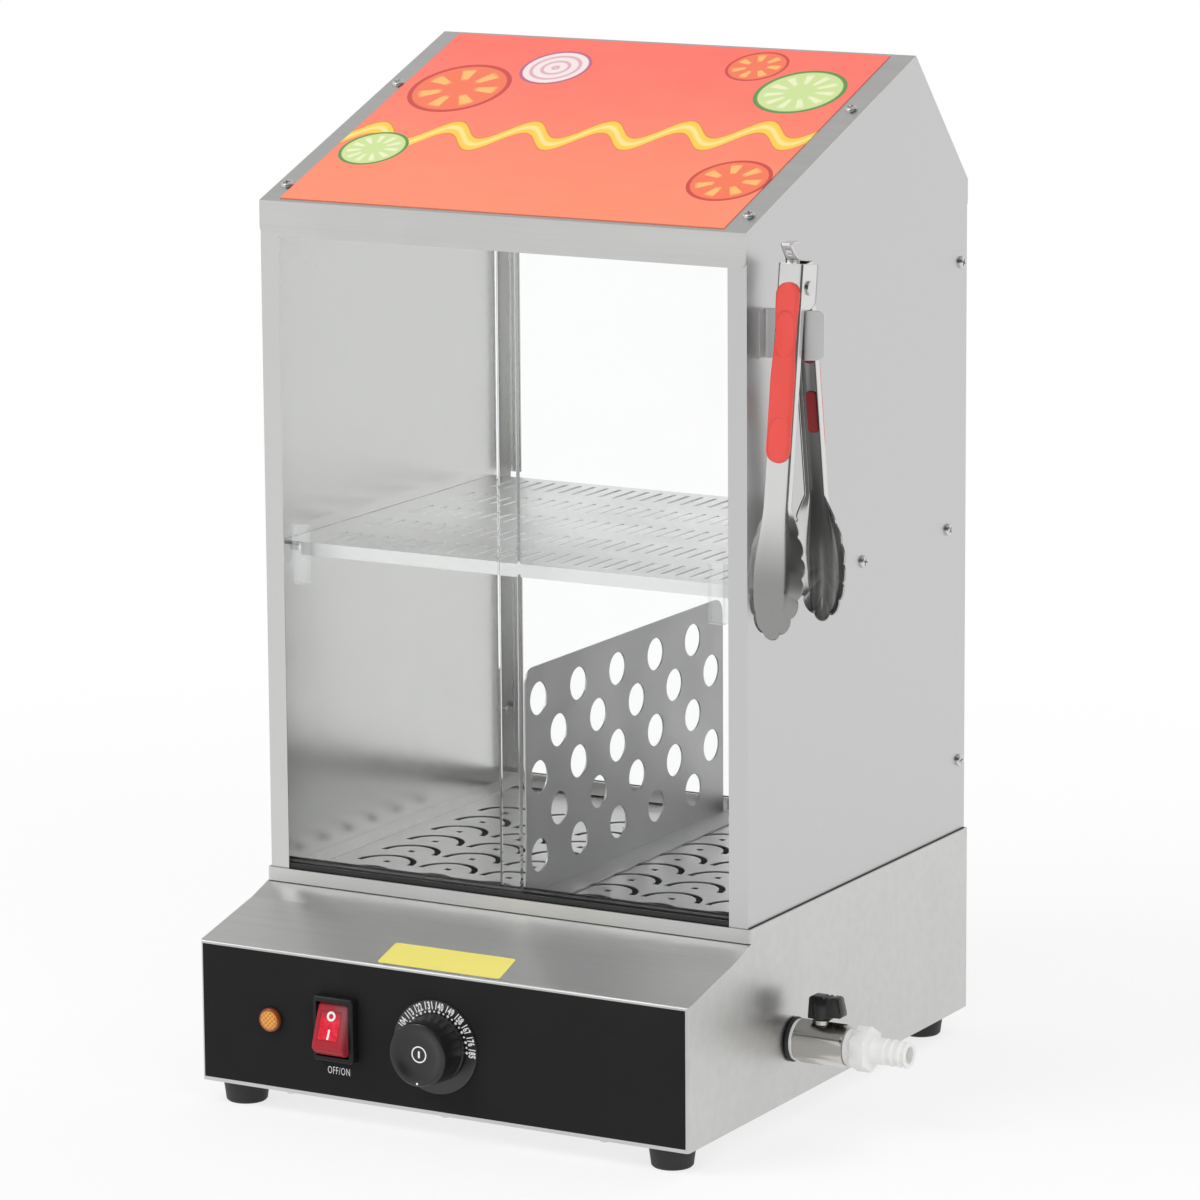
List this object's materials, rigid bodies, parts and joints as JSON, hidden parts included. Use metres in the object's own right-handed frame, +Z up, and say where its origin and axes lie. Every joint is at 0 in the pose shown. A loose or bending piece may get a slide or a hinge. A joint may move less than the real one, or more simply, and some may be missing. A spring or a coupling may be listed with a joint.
{
  "type": "hot dog steamer",
  "caption": "Countertop steam cabinet with sliding glass doors, slotted shelf, divider, sloping control console, side drain valve and hanging tongs.",
  "frame": {"origin": "bottom centre of the whole machine's bounding box, on the surface that the feet stand on", "axes": "+X to the machine's right, towards the drain valve; +Y to its rear; +Z up; the console and the doors face -Y"},
  "size_m": [0.412, 0.4042, 0.6215],
  "materials": {
    "stainless": "brushed stainless sheet, light grain",
    "screw_steel": "bright zinc-plated steel",
    "element_steel": "dull stainless tube",
    "overlay_black": "printed black film, slight sheen",
    "black_plastic": "moulded black plastic",
    "dial_black": "black anodised scale ring, satin",
    "amber_lens": "amber faceted lens",
    "red_rocker": "translucent red plastic",
    "thermostat_case": "pale ceramic-filled plastic",
    "nickel": "nickel-plated brass",
    "black_rubber": "black rubber",
    "white_nylon": "white nylon",
    "poster_print": "glossy printed film in coral red",
    "track_black": "black extruded plastic",
    "clear_glass": "clear float glass",
    "clear_acrylic": "clear acrylic",
    "coral_grip": "soft-touch coral plastic"
  },
  "bodies": {
    "machine": {"base_shell": "stainless", "console_cover": "stainless", "bottom_plate": "stainless", "base_screws": "screw_steel", "water_tank": "stainless", "heating_element": "element_steel", "temperature_sensor": "element_steel", "control_overlay": "overlay_black", "lamp_housing": "black_plastic", "lamp_lens": "amber_lens", "switch_housing": "black_plastic", "dial_ring": "dial_black", "thermostat_body": "thermostat_case", "valve_gasket": "black_rubber", "valve_washer": "white_nylon", "valve_body": "nickel", "valve_lock_nut": "nickel", "hose_barb": "white_nylon", "cable_gland": "black_plastic", "terminal_block": "white_nylon", "bottom_frame": "stainless", "right_side_panel": "stainless", "left_side_panel": "stainless", "roof_cover": "stainless", "poster_panel": "poster_print", "cabinet_screws": "screw_steel", "lower_door_track": "track_black", "upper_door_track": "track_black", "rear_glass": "clear_glass", "rear_lower_channel": "stainless", "rear_upper_channel": "stainless", "right_shelf_rail": "stainless", "left_shelf_rail": "stainless", "tongs_holder": "stainless", "foot_front_left": "black_rubber", "foot_front_right": "black_rubber", "foot_rear_left": "black_rubber", "foot_rear_right": "black_rubber"},
    "left_door": {"left_door_glass": "clear_glass", "left_door_pull": "clear_acrylic"},
    "right_door": {"right_door_glass": "clear_glass", "right_door_pull": "clear_acrylic"},
    "rocker": {"switch_rocker": "red_rocker"},
    "knob": {"control_knob": "black_plastic", "thermostat_shaft": "screw_steel"},
    "valve_spindle": {"valve_handle": "black_plastic", "valve_stem": "screw_steel", "valve_ball": "nickel"},
    "bun_shelf": {"shelf": "stainless"},
    "left_plate": {"left_steam_plate": "stainless"},
    "right_plate": {"right_steam_plate": "stainless"},
    "divider_wall": {"divider": "stainless"},
    "tongs": {"tongs_pivot": "screw_steel", "tongs_spring": "screw_steel"},
    "tongs_front": {"tongs_front_arm": "stainless", "tongs_front_grip": "coral_grip"},
    "tongs_rear": {"tongs_rear_arm": "stainless", "tongs_rear_grip": "coral_grip"},
    "tongs_tab": {"tongs_pull_tab": "stainless"}
  },
  "joints": [
    {"name": "left_door_slide", "type": "slide", "parent": "machine", "child": "left_door", "axis": [1, 0, 0], "range_m": [0, 0.147]},
    {"name": "right_door_slide", "type": "slide", "parent": "machine", "child": "right_door", "axis": [-1, 0, 0], "range_m": [0, 0.147]},
    {"name": "rocker_tilt", "type": "hinge", "parent": "machine", "child": "rocker", "pos_m": [-0.1088, -0.1819, 0.0588], "axis": [1, 0, 0], "range_deg": [0, 40]},
    {"name": "knob_turn", "type": "hinge", "parent": "machine", "child": "knob", "pos_m": [-0.0408, -0.1919, 0.0561], "axis": [0, 1, 0], "range_deg": [0, 270]},
    {"name": "valve_turn", "type": "hinge", "parent": "machine", "child": "valve_spindle", "pos_m": [0.14825, -0.0489, 0.0664], "axis": [0, 0, 1], "range_deg": [0, 90]},
    {"name": "shelf_lift", "type": "slide", "parent": "machine", "child": "bun_shelf", "axis": [0, 0, 1], "range_m": [0, 0.12]},
    {"name": "left_plate_lift", "type": "slide", "parent": "machine", "child": "left_plate", "axis": [0, 0, 1], "range_m": [0, 0.05]},
    {"name": "right_plate_lift", "type": "slide", "parent": "machine", "child": "right_plate", "axis": [0, 0, 1], "range_m": [0, 0.05]},
    {"name": "divider_slide", "type": "slide", "parent": "right_plate", "child": "divider_wall", "axis": [1, 0, 0], "range_m": [0, 0.13]},
    {"name": "tongs_hang", "type": "slide", "parent": "machine", "child": "tongs", "axis": [1, 0, 0], "range_m": [0, 0.04]},
    {"name": "tongs_front_squeeze", "type": "hinge", "parent": "tongs", "child": "tongs_front", "pos_m": [0.1467, -0.0789, 0.5077], "axis": [1, 0, 0], "range_deg": [0, 7], "stiffness_Nm_per_rad": 0.1, "springref_deg": -20.05},
    {"name": "tongs_rear_squeeze", "type": "hinge", "parent": "tongs", "child": "tongs_rear", "pos_m": [0.1467, -0.0789, 0.5077], "axis": [1, 0, 0], "range_deg": [-7, 0], "stiffness_Nm_per_rad": 0.1, "springref_deg": 20.05},
    {"name": "tongs_tab_pull", "type": "slide", "parent": "tongs", "child": "tongs_tab", "axis": [0, 0, 1], "range_m": [0, 0.006]}
  ],
  "couplings": [
    {"joint": "tongs_rear_squeeze", "follows": "tongs_front_squeeze", "ratio": -1}
  ]
}
